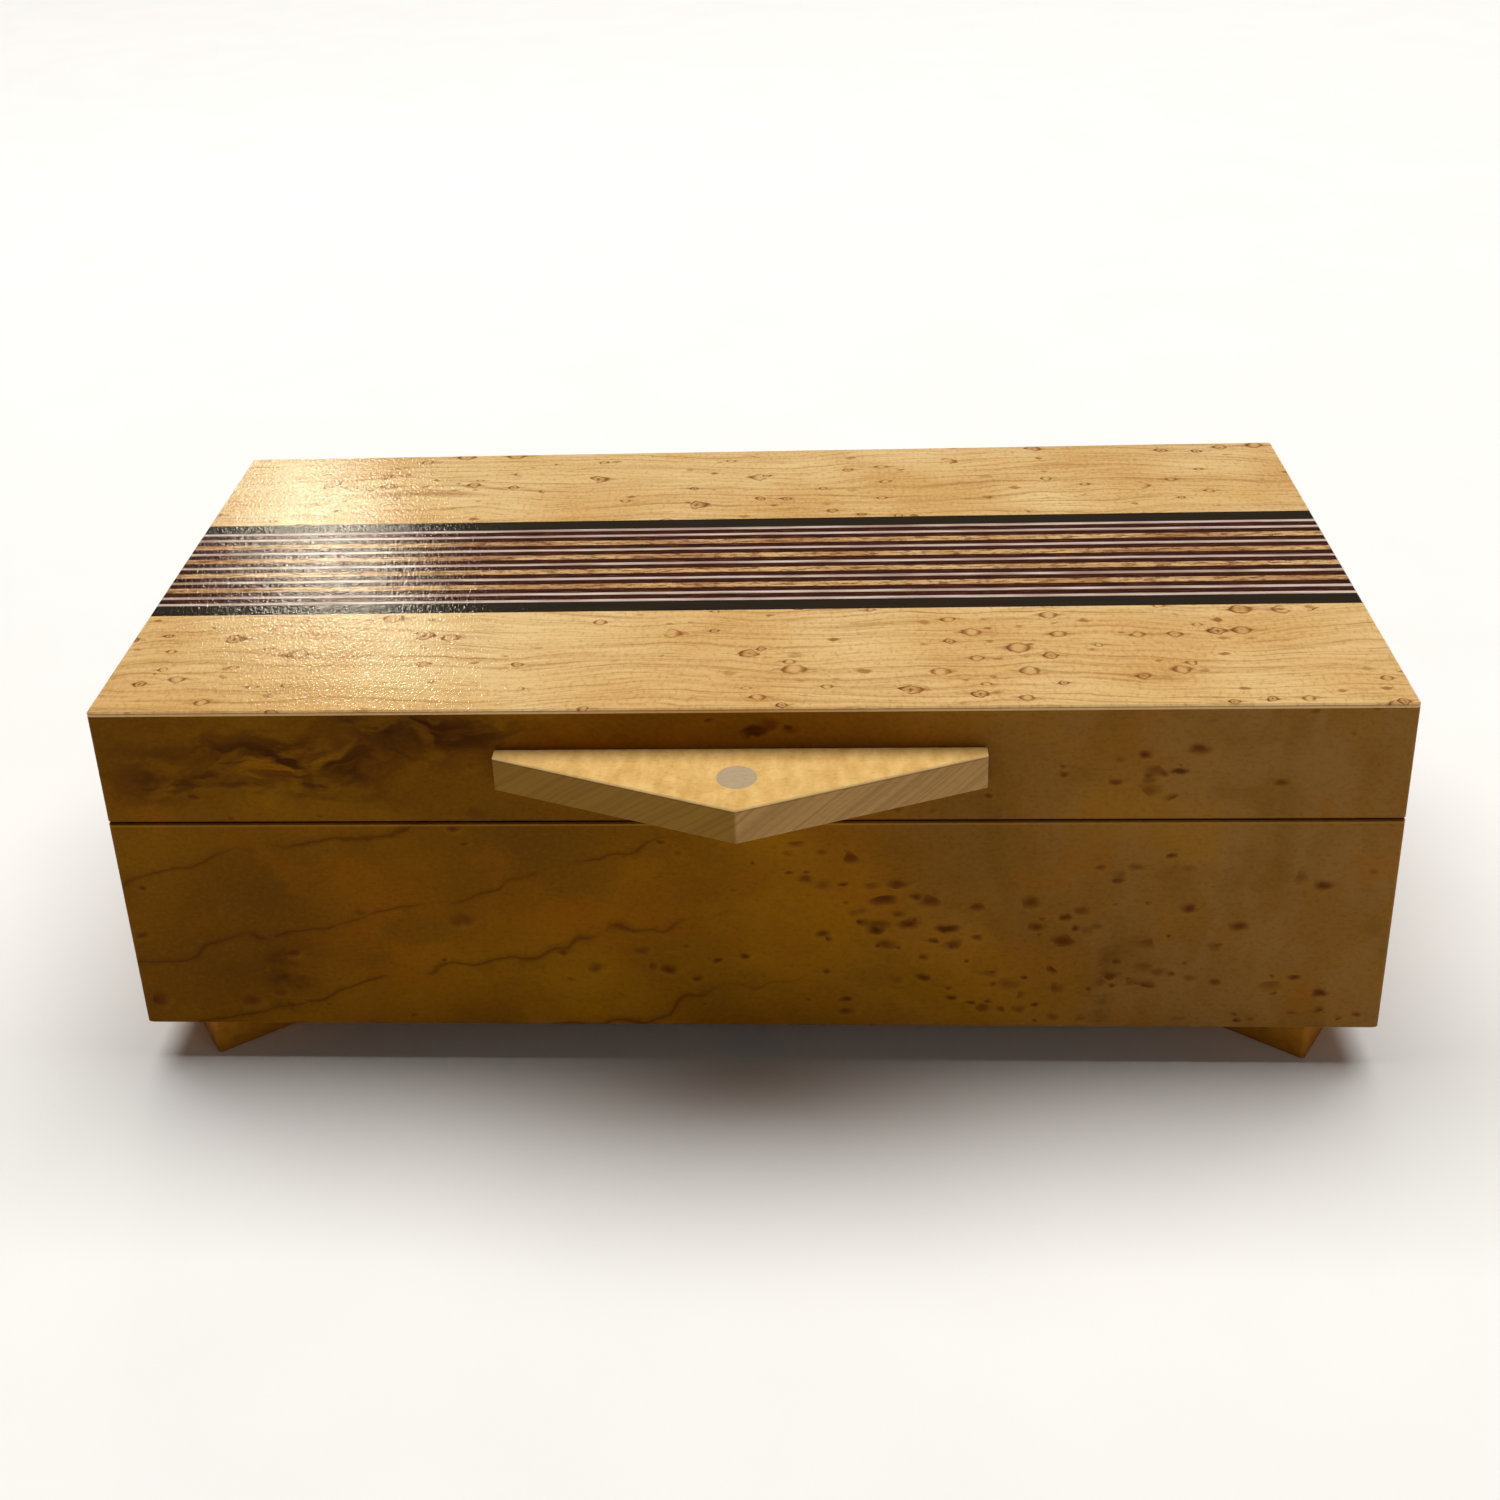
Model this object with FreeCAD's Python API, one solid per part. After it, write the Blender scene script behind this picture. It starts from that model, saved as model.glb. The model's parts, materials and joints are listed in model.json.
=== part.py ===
"""A wooden puzzle box: a veneered keepsake box with a hinged lid, a triangular pull and a hidden latch.

Frame: millimetres, +Z up, front towards -Y, +X to the right. The origin is the centre of the bounding
box at floor level, so the feet stand on z = 0. Every sub-part is written to parts/NODE.step.
"""

import FreeCAD
import Part

import math
import os

Vector = FreeCAD.Vector

# ---- driving dimensions, mm ------------------------------------------------------------------------
WIDTH = 315.0
DEPTH = 150.0
BODY_HEIGHT = 95.0
FOOT_HEIGHT = 11.0
LID_HEIGHT = 32.0
SEAM_GAP = 0.5

VENEER = 1.0
TOP_LAYER = 1.2
WALL = 9.5
LINER = 3.0
LID_PANEL = 6.0
BOTTOM_PANEL = 5.0
REBATE = 3.0

CORNER_RADIUS = 1.2
TOP_EASE = 0.4
LID_RIM_EASE = 0.25
BASE_RIM_EASE = 0.4
BOTTOM_EASE = 0.8

# Banding let into the lid, from the rim strips inwards.
BORDER_STRIP = 5.3
LIGHT_LINE = 1.5
DARK_LINE = 2.25
FIGURED_STRIP = 2.6
BAND_PATTERN = "BLDLDFDLDFDLDFDLDFDLDLB"

# Triangular pull on the lid's front.
PULL_HALF_WIDTH = 58.75
PULL_END_DEPTH = 3.6
PULL_DEPTH = 25.6
PULL_THICKNESS = 9.3
PULL_DROP = 11.0
PULL_EASE = 0.5
DOT_RADIUS = 4.76
DOT_THICKNESS = 2.0
DOT_OFFSET = 12.4
DOWEL_RADIUS = 3.0
DOWEL_X = 24.0
DOWEL_IN_PULL = 10.0
DOWEL_IN_RAIL = 8.0

# Feet: right-angled triangles in plan, the right angle pointing outwards.
FOOT_APEX_X = 140.5
FOOT_SETBACK = 1.5
FOOT_DEPTH = 21.0
FOOT_INNER_ANGLE = 33.5
FOOT_EASE = 1.2

# Liner lip that the lid closes over.
LIP_HEIGHT = 4.0
LIP_CLEARANCE = 0.5
LIP_EASE = 0.8

# Pads of suede over thin foam.
FLOOR_PAD = 2.5
LID_PAD = 2.0
PAD_CLEARANCE = 0.3
PAD_EASE = 0.8

# Butt hinges with stop wings.
HINGE_X = 95.0
HINGE_LENGTH = 30.0
LEAF_THICKNESS = 1.4
LEAF_DEPTH = 8.0
BARREL_RADIUS = 2.4
AXIS_BEHIND_BACK = 2.5
PIN_RADIUS = 1.0
PIN_CLEARANCE = 0.05
KNUCKLE_GAP = 0.1
WING_INNER = 2.55
WING_OUTER = 3.9
WING_START = 48.0
WING_END = 100.0
WING_ROOT = 1.6
HINGE_SCREW_X = 9.0
HINGE_SCREW_INSET = 4.5
SMALL_SCREW_LENGTH = 9.0

# Screws that hold the feet through the bottom panel.
FOOT_SCREW_LENGTH = 12.0
FOOT_SCREW_HEAD = 3.2
FOOT_SCREW_SHANK = 1.6

# Hidden latch in the front wall.
LATCH_TRAVEL = 6.0
LATCH_BAR_WIDTH = 14.0
LATCH_BAR_THICKNESS = 2.5
LATCH_NECK_WIDTH = 12.0
LATCH_TOE = 5.0
LATCH_TOE_HEIGHT = 4.0
LATCH_CLEARANCE = 0.4
LATCH_CHANNEL_FRONT = 4.2
LATCH_TAB_DROP = 1.5
LATCH_TAB_HEIGHT = 3.5
LATCH_END_ROOM = 1.0
LATCH_HEAD_ROOM = 2.0
LATCH_PIN_RADIUS = 0.6
LATCH_PIN_HALF = 2.0
LATCH_PIN_INSET = 3.5
GUIDE_SHANK_RADIUS = 1.25
GUIDE_HEAD_RADIUS = 2.6
GUIDE_HEAD_HEIGHT = 1.8
GUIDE_SLOT_WIDTH = 0.6
GUIDE_TIP_COVER = 0.6
GUIDE_PLAY = 0.1
GUIDE_HEAD_PLAY = 0.2
GUIDE_HEIGHTS = (16.0, 40.0)
STRIKE_THICKNESS = 1.5
STRIKE_SLOT_GAP = 0.6
STRIKE_MARGIN = 17.0
STRIKE_SCREW_INSET = 4.0
STRIKE_WIDTH = 6.5

# ---- places worked out from them -------------------------------------------------------------------
HALF_W = WIDTH / 2
OVERALL_DEPTH = PULL_DEPTH + DEPTH + AXIS_BEHIND_BACK + WING_OUTER * math.cos(math.radians(WING_START))
FRONT = PULL_DEPTH - OVERALL_DEPTH / 2
BACK = FRONT + DEPTH
MID_Y = (FRONT + BACK) / 2

BASE_Z = FOOT_HEIGHT
TOP_Z = FOOT_HEIGHT + BODY_HEIGHT
SEAM_Z = TOP_Z - LID_HEIGHT
BASE_RIM = SEAM_Z - SEAM_GAP / 2
LID_RIM = SEAM_Z + SEAM_GAP / 2
LAYER_Z = TOP_Z - TOP_LAYER
PANEL_Z = LAYER_Z - LID_PANEL
FLOOR_Z = BASE_Z + BOTTOM_PANEL
LIP_Z = BASE_RIM + LIP_HEIGHT

INNER_WALL = VENEER + WALL
INNER_LINER = INNER_WALL + LINER

AXIS_Y = BACK + AXIS_BEHIND_BACK
PULL_TOP = TOP_Z - PULL_DROP
PULL_BOTTOM = PULL_TOP - PULL_THICKNESS
PULL_MID = (PULL_TOP + PULL_BOTTOM) / 2

BAR_X0 = -(LATCH_BAR_WIDTH + LATCH_TRAVEL) / 2
BAR_X1 = BAR_X0 + LATCH_BAR_WIDTH
NECK_X1 = BAR_X0 + LATCH_NECK_WIDTH
TOE_X1 = BAR_X1 + LATCH_TOE
BAR_Y0 = FRONT + LATCH_CHANNEL_FRONT + LATCH_CLEARANCE
BAR_Y1 = BAR_Y0 + LATCH_BAR_THICKNESS
STRIKE_TOP = BASE_RIM + STRIKE_THICKNESS
TOE_Z0 = STRIKE_TOP + LATCH_CLEARANCE
TOE_Z1 = TOE_Z0 + LATCH_TOE_HEIGHT
CHANNEL_X0 = BAR_X0 - LATCH_END_ROOM
CHANNEL_X1 = BAR_X1 + LATCH_TRAVEL + LATCH_END_ROOM
SHOULDER_Z = BASE_RIM - 1.0
TAB_Z0 = BASE_Z - LATCH_TAB_DROP
TAB_Z1 = TAB_Z0 + LATCH_TAB_HEIGHT

SIDES = ("front", "right", "back", "left")


# ---- small helpers ---------------------------------------------------------------------------------
def box(x0, x1, y0, y1, z0, z1):
    """A box between two corners."""
    return Part.makeBox(x1 - x0, y1 - y0, z1 - z0, Vector(x0, y0, z0))


def rod(radius, start, end):
    """A round rod from one point to another."""
    start, end = Vector(*start), Vector(*end)
    return Part.makeCylinder(radius, (end - start).Length, start, end - start)


def plan_prism(points, z0, z1):
    """A prism over a plan outline."""
    wire = Part.makePolygon([Vector(x, y, z0) for x, y in points + points[:1]])
    return Part.Face(wire).extrude(Vector(0, 0, z1 - z0))


def end_prism(points, x0, x1):
    """A prism along X over an outline in the YZ plane."""
    wire = Part.makePolygon([Vector(x0, y, z) for y, z in points + points[:1]])
    return Part.Face(wire).extrude(Vector(x1 - x0, 0, 0))


def edges_at(shape, z):
    """The edges that lie flat at height z."""
    tol = 1e-6
    return [e for e in shape.Edges if abs(e.BoundBox.ZMin - z) < tol and abs(e.BoundBox.ZMax - z) < tol]


def upright_edges(shape):
    """The straight edges along Z."""
    tol = 1e-6
    return [e for e in shape.Edges if e.BoundBox.XLength < tol and e.BoundBox.YLength < tol]


def mirrored_x(shape):
    return shape.mirror(Vector(0, 0, 0), Vector(1, 0, 0))


def mirrored_y(shape):
    return shape.mirror(Vector(0, MID_Y, 0), Vector(0, 1, 0))


def cut_all(shape, tools):
    for tool in tools:
        shape = shape.cut(tool)
    return shape


def write(name, *shapes):
    """Writes one node: a single solid, or a group of separate ones."""
    solids = [s for shape in shapes for s in shape.Solids]
    node = solids[0] if len(solids) == 1 else Part.makeCompound(solids)
    node.exportStep(os.path.join("parts", name + ".step"))
    print(f"{name}: {len(solids)} solid(s), {sum(s.Volume for s in solids):.1f} mm3")


def ring_board(side, inset, thickness, z0, z1):
    """One mitred board of a four-sided frame whose outer faces lie inset from the box's faces."""
    def corners(i):
        x, y0, y1 = HALF_W - i, FRONT + i, BACK - i
        return [(-x, y0), (x, y0), (x, y1), (-x, y1)]

    outer, inner = corners(inset), corners(inset + thickness)
    k = SIDES.index(side)
    n = (k + 1) % 4
    return plan_prism([outer[k], outer[n], inner[n], inner[k]], z0, z1)


def countersunk_screw(x, y, z, down, length, head_radius=2.1, shank_radius=1.1):
    """A slotted countersunk screw along Z, its flat head at z."""
    head_height, slot_width, slot_depth = 1.2, 0.5, 0.5
    way = Vector(0, 0, -1 if down else 1)
    top = Vector(x, y, z)
    head = Part.makeCone(head_radius, shank_radius, head_height, top, way)
    shank = Part.makeCylinder(shank_radius, length, top, way)
    slot_z = sorted((z, z + way.z * slot_depth))
    slot = box(x - head_radius, x + head_radius, y - slot_width / 2, y + slot_width / 2, *slot_z)
    whole = head.fuse(shank)
    return whole, whole.cut(slot)


# ---- outer skins -----------------------------------------------------------------------------------
def eased_block(z0, z1, top_ease=0.0, bottom_ease=0.0):
    """The box's full plan between two heights, its corners rounded and its edges eased."""
    block = box(-HALF_W, HALF_W, FRONT, BACK, z0, z1)
    block = block.makeFillet(CORNER_RADIUS, upright_edges(block))
    if top_ease:
        block = block.makeChamfer(top_ease, edges_at(block, z1))
    if bottom_ease:
        block = block.makeChamfer(bottom_ease, edges_at(block, z0))
    return block


def veneer_skin(z0, z1, top_ease=0.0, bottom_ease=0.0):
    """Four veneers: front and back run the full width, the ends sit between them."""
    x, y0, y1 = HALF_W - VENEER, FRONT + VENEER, BACK - VENEER
    shell = eased_block(z0, z1, top_ease, bottom_ease).cut(box(-x, x, y0, y1, z0 - 1, z1 + 1))
    return {
        "front": shell.common(box(-HALF_W, HALF_W, FRONT, y0, z0, z1)),
        "back": shell.common(box(-HALF_W, HALF_W, y1, BACK, z0, z1)),
        "left": shell.common(box(-HALF_W, -x, y0, y1, z0, z1)),
        "right": shell.common(box(x, HALF_W, y0, y1, z0, z1)),
    }


def top_layer():
    """The face of the lid: two figured veneers either side of a band of glued strips."""
    slab = eased_block(LAYER_Z, TOP_Z, top_ease=TOP_EASE)
    widths = {"B": BORDER_STRIP, "L": LIGHT_LINE, "D": DARK_LINE, "F": FIGURED_STRIP}
    band = sum(widths[k] for k in BAND_PATTERN)
    y = MID_Y - band / 2
    strips = {k: [] for k in widths}
    front = slab.common(box(-HALF_W, HALF_W, FRONT, y, LAYER_Z, TOP_Z))
    for kind in BAND_PATTERN:
        strips[kind].append(slab.common(box(-HALF_W, HALF_W, y, y + widths[kind], LAYER_Z, TOP_Z)))
        y += widths[kind]
    rear = slab.common(box(-HALF_W, HALF_W, y, BACK, LAYER_Z, TOP_Z))
    return front, rear, strips


# ---- hinges ----------------------------------------------------------------------------------------
def annular_sector(inner, outer, start, end, x0, x1, flip):
    """A bar round the hinge axis between two radii and two angles from +Y, upwards or, flipped, down."""
    sign = -1 if flip else 1

    def point(radius, angle):
        a = math.radians(angle) * sign
        return Vector(x0, AXIS_Y + radius * math.cos(a), SEAM_Z + radius * math.sin(a))

    middle = (start + end) / 2
    rim = Part.Arc(point(outer, start), point(outer, middle), point(outer, end)).toShape()
    bore = Part.Arc(point(inner, end), point(inner, middle), point(inner, start)).toShape()
    sides = [
        Part.LineSegment(point(outer, end), point(inner, end)).toShape(),
        Part.LineSegment(point(inner, start), point(outer, start)).toShape(),
    ]
    wire = Part.Wire([rim, sides[0], bore, sides[1]])
    return Part.Face(wire).extrude(Vector(x1 - x0, 0, 0))


def knuckle_spans(x, on_lid):
    """The stretches of barrel on one leaf: the middle third on the lid's, the outer two on the base's."""
    third = HINGE_LENGTH / 3
    x0, x1 = x - HINGE_LENGTH / 2, x + HINGE_LENGTH / 2
    if on_lid:
        return [(x0 + third + KNUCKLE_GAP, x1 - third - KNUCKLE_GAP)]
    return [(x0, x0 + third - KNUCKLE_GAP), (x1 - third + KNUCKLE_GAP, x1)]


def leaf_plate(x, on_lid):
    """The part of a leaf that lies in its mortise, flush with the rim."""
    z0, z1 = (LID_RIM, LID_RIM + LEAF_THICKNESS) if on_lid else (BASE_RIM - LEAF_THICKNESS, BASE_RIM)
    return box(x - HINGE_LENGTH / 2, x + HINGE_LENGTH / 2, BACK - LEAF_DEPTH, BACK, z0, z1)


def hinge_leaf(x, on_lid, screws):
    """One leaf: plate, knuckles, and the wing that meets the other leaf's wing to stop the lid."""
    plate = leaf_plate(x, on_lid)
    z0, z1 = plate.BoundBox.ZMin, plate.BoundBox.ZMax
    leaf = plate
    bore = PIN_RADIUS + (PIN_CLEARANCE if on_lid else 0)
    for x0, x1 in knuckle_spans(x, on_lid):
        leaf = leaf.fuse(box(x0, x1, BACK, AXIS_Y, z0, z1))
        leaf = leaf.fuse(rod(BARREL_RADIUS, (x0, AXIS_Y, SEAM_Z), (x1, AXIS_Y, SEAM_Z)))
        leaf = leaf.fuse(annular_sector(WING_ROOT, WING_OUTER, WING_START, WING_END, x0, x1, not on_lid))
    x0, x1 = x - HINGE_LENGTH / 2, x + HINGE_LENGTH / 2
    leaf = leaf.fuse(annular_sector(WING_INNER, WING_OUTER, WING_START, WING_END, x0, x1, not on_lid))
    leaf = leaf.cut(rod(bore, (x0, AXIS_Y, SEAM_Z), (x1, AXIS_Y, SEAM_Z)))
    return cut_all(leaf, screws).removeSplitter()


def hinge_parts(x, side):
    """Writes one hinge and returns the shapes that its mortises and screws take out of the wood."""
    taken = {}
    screws_made = {}
    for on_lid in (False, True):
        z = LID_RIM if on_lid else BASE_RIM
        y = BACK - HINGE_SCREW_INSET
        pairs = [countersunk_screw(x + dx, y, z, down=not on_lid, length=SMALL_SCREW_LENGTH)
                 for dx in (-HINGE_SCREW_X, HINGE_SCREW_X)]
        holes = [whole for whole, _ in pairs]
        name = "lid" if on_lid else "base"
        write(f"{side}_hinge_{name}_leaf", hinge_leaf(x, on_lid, holes))
        taken[name] = holes + [leaf_plate(x, on_lid)]
        screws_made[name] = [slotted for _, slotted in pairs]
    x0, x1 = x - HINGE_LENGTH / 2, x + HINGE_LENGTH / 2
    write(f"{side}_hinge_pin", rod(PIN_RADIUS, (x0, AXIS_Y, SEAM_Z), (x1, AXIS_Y, SEAM_Z)))
    return taken, screws_made


# ---- hidden latch ----------------------------------------------------------------------------------
def latch_channel():
    """The space in the front wall that the latch slides in, open at the rim and underneath."""
    deep = box(CHANNEL_X0, CHANNEL_X1, FRONT + LATCH_CHANNEL_FRONT, FRONT + INNER_WALL, FLOOR_Z, BASE_RIM)
    low_y1 = FRONT + INNER_WALL - REBATE
    low = box(CHANNEL_X0, CHANNEL_X1, FRONT + LATCH_CHANNEL_FRONT, low_y1, BASE_Z, FLOOR_Z)
    return deep.fuse(low)


def guide_screws():
    """Two shouldered screws on which the latch bar slides, and the shapes they take out of the wall."""
    x = BAR_X0 + LATCH_BAR_WIDTH / 2 + LATCH_TRAVEL / 2
    tip_y = FRONT + VENEER + GUIDE_TIP_COVER
    head_y = BAR_Y1 + GUIDE_HEAD_PLAY
    end_y = head_y + GUIDE_HEAD_HEIGHT
    screws, holes = [], []
    for height in GUIDE_HEIGHTS:
        z = BASE_Z + height
        shank = rod(GUIDE_SHANK_RADIUS, (x, tip_y, z), (x, head_y, z))
        head = rod(GUIDE_HEAD_RADIUS, (x, head_y, z), (x, end_y, z))
        half, reach = GUIDE_SLOT_WIDTH / 2, GUIDE_HEAD_RADIUS
        slot = box(x - reach, x + reach, end_y - GUIDE_SLOT_WIDTH, end_y, z - half, z + half)
        screws.append(shank.fuse(head).cut(slot))
        holes.append(shank)
    return screws, holes


def latch_bar():
    """A brass bar with a hooked head, and a slot round each guide screw."""
    shank = box(BAR_X0, BAR_X1, BAR_Y0, BAR_Y1, TAB_Z1, SHOULDER_Z)
    neck = box(BAR_X0, NECK_X1, BAR_Y0, BAR_Y1, SHOULDER_Z, TOE_Z1)
    toe = box(NECK_X1, TOE_X1, BAR_Y0, BAR_Y1, TOE_Z0, TOE_Z1)
    bar = shank.fuse(neck).fuse(toe)
    x_mid = BAR_X0 + LATCH_BAR_WIDTH / 2
    half_slot = GUIDE_SHANK_RADIUS + GUIDE_PLAY
    for height in GUIDE_HEIGHTS:
        z = BASE_Z + height
        x0, x1 = x_mid - LATCH_TRAVEL / 2, x_mid + LATCH_TRAVEL / 2
        slot = box(x0, x1, BAR_Y0, BAR_Y1, z - half_slot, z + half_slot)
        for x in (x0, x1):
            slot = slot.fuse(rod(half_slot, (x, BAR_Y0, z), (x, BAR_Y1, z)))
        bar = bar.cut(slot)
    return bar.removeSplitter()


def latch_tab():
    """The wooden tab under the front edge that a fingernail pushes, grooved for grip."""
    tab = box(BAR_X0, BAR_X1, BAR_Y0, BAR_Y1, TAB_Z0, TAB_Z1)
    grooves, groove_width, groove_depth = 4, 0.8, 0.5
    pitch = LATCH_BAR_WIDTH / (grooves + 1)
    for k in range(1, grooves + 1):
        x = BAR_X0 + k * pitch - groove_width / 2
        tab = tab.cut(box(x, x + groove_width, BAR_Y0, BAR_Y1, TAB_Z0, TAB_Z0 + groove_depth))
    return tab


def latch_pins():
    """Two brass pins that hold the tab to the bar."""
    y = (BAR_Y0 + BAR_Y1) / 2
    z0, z1 = TAB_Z1 - LATCH_PIN_HALF, TAB_Z1 + LATCH_PIN_HALF
    places = (BAR_X0 + LATCH_PIN_INSET, BAR_X1 - LATCH_PIN_INSET)
    return [rod(LATCH_PIN_RADIUS, (x, y, z0), (x, y, z1)) for x in places]


def strike_outline():
    """The strike's plate, proud of the lid's rim so that it rests on the base, and its slot."""
    y = (BAR_Y0 + BAR_Y1) / 2
    x0, x1 = BAR_X0 - STRIKE_SLOT_GAP, TOE_X1 + STRIKE_SLOT_GAP
    half = STRIKE_WIDTH / 2
    plate = box(x0 - STRIKE_MARGIN, x1 + STRIKE_MARGIN, y - half, y + half, BASE_RIM, STRIKE_TOP)
    slot = box(x0, x1, BAR_Y0 - STRIKE_SLOT_GAP, BAR_Y1 + STRIKE_SLOT_GAP, BASE_RIM, STRIKE_TOP)
    return plate, slot


def strike_screws():
    """The two screws near the strike's ends, their heads flush with its underside."""
    plate, _ = strike_outline()
    y = (BAR_Y0 + BAR_Y1) / 2
    ends = (plate.BoundBox.XMin + STRIKE_SCREW_INSET, plate.BoundBox.XMax - STRIKE_SCREW_INSET)
    return [countersunk_screw(x, y, BASE_RIM, down=False, length=SMALL_SCREW_LENGTH) for x in ends]


def strike_mortise():
    """The space above the strike that the hooked head moves in."""
    room = LATCH_END_ROOM
    x1 = TOE_X1 + LATCH_TRAVEL + room
    return box(BAR_X0 - room, x1, BAR_Y0 - room, BAR_Y1 + room, LID_RIM, TOE_Z1 + LATCH_HEAD_ROOM)


# ---- pull ------------------------------------------------------------------------------------------
def pull_dowels():
    return [rod(DOWEL_RADIUS, (x, FRONT - DOWEL_IN_PULL, PULL_MID), (x, FRONT + DOWEL_IN_RAIL, PULL_MID))
            for x in (-DOWEL_X, DOWEL_X)]


def handle_dot():
    y = FRONT - DOT_OFFSET
    return rod(DOT_RADIUS, (0, y, PULL_TOP - DOT_THICKNESS), (0, y, PULL_TOP))


def pull_handle(dowels):
    """A flat wide triangle with blunt ends, its edges softened."""
    w, end, nose = PULL_HALF_WIDTH, FRONT - PULL_END_DEPTH, FRONT - PULL_DEPTH
    outline = [(-w, FRONT), (w, FRONT), (w, end), (0, nose), (-w, end)]
    handle = plan_prism(outline, PULL_BOTTOM, PULL_TOP)
    uprights = [e for e in upright_edges(handle) if e.BoundBox.YMax < FRONT - 0.1]
    handle = handle.makeFillet(PULL_EASE, uprights)
    handle = handle.makeFillet(PULL_EASE, edges_at(handle, PULL_TOP) + edges_at(handle, PULL_BOTTOM))
    return cut_all(handle, dowels + [handle_dot()])


# ---- feet ------------------------------------------------------------------------------------------
def front_right_foot():
    """A triangular block: the right angle points forwards, the shallow leg runs inwards."""
    slope = math.tan(math.radians(FOOT_INNER_ANGLE))
    y0, y1 = FRONT + FOOT_SETBACK, FRONT + FOOT_SETBACK + FOOT_DEPTH
    inner = FOOT_APEX_X - FOOT_DEPTH / slope
    outer = FOOT_APEX_X + FOOT_DEPTH * slope
    block = plan_prism([(FOOT_APEX_X, y0), (outer, y1), (inner, y1)], 0, FOOT_HEIGHT)
    return block.makeFillet(FOOT_EASE, upright_edges(block))


def front_right_foot_screw():
    """The screw through the bottom panel, at the foot's centroid."""
    slope = math.tan(math.radians(FOOT_INNER_ANGLE))
    x = FOOT_APEX_X + FOOT_DEPTH * (slope - 1 / slope) / 3
    y = FRONT + FOOT_SETBACK + FOOT_DEPTH * 2 / 3
    return countersunk_screw(x, y, FLOOR_Z, True, FOOT_SCREW_LENGTH, FOOT_SCREW_HEAD, FOOT_SCREW_SHANK)


def four_of(shape):
    """A front right shape and its three mirror images, in the order of the feet's names."""
    return [shape, mirrored_x(shape), mirrored_y(shape), mirrored_y(mirrored_x(shape))]


# ---- assemblies ------------------------------------------------------------------------------------
def liner_board(side):
    """A thin inner board whose top edge stands up as the lip that the lid closes over."""
    board = ring_board(side, INNER_WALL, LINER, FLOOR_Z, BASE_RIM)
    lip = ring_board(side, INNER_WALL + LIP_CLEARANCE, LINER - LIP_CLEARANCE, BASE_RIM, LIP_Z)
    long_edges = [e for e in edges_at(lip, LIP_Z) if e.Length > DEPTH / 2]
    return board.fuse(lip.makeFillet(LIP_EASE, long_edges)).removeSplitter()


def pad(inset, z0, z1, eased_z):
    """A thin pad inside a frame, its visible edge rounded."""
    x, y0, y1 = HALF_W - inset - PAD_CLEARANCE, FRONT + inset + PAD_CLEARANCE, BACK - inset - PAD_CLEARANCE
    block = box(-x, x, y0, y1, z0, z1)
    return block.makeFillet(PAD_EASE, edges_at(block, eased_z))


def build_base(hinge_cuts):
    screws, guide_holes = guide_screws()
    panel_inset = INNER_WALL - REBATE
    x, y0, y1 = HALF_W - panel_inset, FRONT + panel_inset, BACK - panel_inset
    panel = box(-x, x, y0, y1, BASE_Z, FLOOR_Z)
    foot_pairs = [four_of(s) for s in front_right_foot_screw()]
    foot_holes, foot_screws = foot_pairs
    skin = veneer_skin(BASE_Z, BASE_RIM, top_ease=BASE_RIM_EASE, bottom_ease=BOTTOM_EASE)
    for side in SIDES:
        board = ring_board(side, VENEER, WALL, BASE_Z, BASE_RIM).cut(panel)
        if side == "front":
            board = cut_all(board, [latch_channel()] + guide_holes)
        if side == "back":
            board = cut_all(board, hinge_cuts)
            skin[side] = cut_all(skin[side], hinge_cuts)
        write(f"base_{side}_board", board)
        write(f"base_{side}_veneer", skin[side])
        write(f"{side}_liner", liner_board(side))
    write("bottom_panel", cut_all(panel, foot_holes))
    write("floor_pad", pad(INNER_LINER, FLOOR_Z, FLOOR_Z + FLOOR_PAD, FLOOR_Z + FLOOR_PAD))
    names = ("front_right", "front_left", "rear_right", "rear_left")
    for name, foot, hole in zip(names, four_of(front_right_foot()), foot_holes):
        write(f"foot_{name}", foot.cut(hole))
    write("foot_screws", *foot_screws)
    write("latch_guide_screws", *screws)


def build_lid(hinge_cuts):
    dowels = pull_dowels()
    strike, strike_slot = strike_outline()
    strike_pairs = strike_screws()
    strike_holes = [whole for whole, _ in strike_pairs]
    skin = veneer_skin(LID_RIM, LAYER_Z, bottom_ease=LID_RIM_EASE)
    for side in SIDES:
        rail = ring_board(side, VENEER, WALL, LID_RIM, PANEL_Z)
        if side == "front":
            rail = cut_all(rail, dowels + [strike, strike_mortise()] + strike_holes)
            skin[side] = cut_all(skin[side], dowels)
        if side == "back":
            rail = cut_all(rail, hinge_cuts)
            skin[side] = cut_all(skin[side], hinge_cuts)
        write(f"lid_{side}_rail", rail)
        write(f"lid_{side}_veneer", skin[side])
    x, y0, y1 = HALF_W - VENEER, FRONT + VENEER, BACK - VENEER
    write("lid_top_panel", box(-x, x, y0, y1, PANEL_Z, LAYER_Z))
    write("lid_pad", pad(INNER_WALL, PANEL_Z - LID_PAD, PANEL_Z, PANEL_Z - LID_PAD))
    front, rear, strips = top_layer()
    write("top_veneer_front", front)
    write("top_veneer_rear", rear)
    write("inlay_border_strips", *strips["B"])
    write("inlay_light_lines", *strips["L"])
    write("inlay_dark_lines", *strips["D"])
    write("inlay_figured_strips", *strips["F"])
    write("pull_handle", pull_handle(dowels))
    write("pull_dowels", *dowels)
    write("handle_dot", handle_dot())
    write("strike_plate", cut_all(strike, [strike_slot] + strike_holes))
    write("strike_screws", *[slotted for _, slotted in strike_pairs])


def build_latch():
    pins = latch_pins()
    write("latch_bar", cut_all(latch_bar(), pins))
    write("latch_tab", cut_all(latch_tab(), pins))
    write("latch_pins", *pins)


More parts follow.
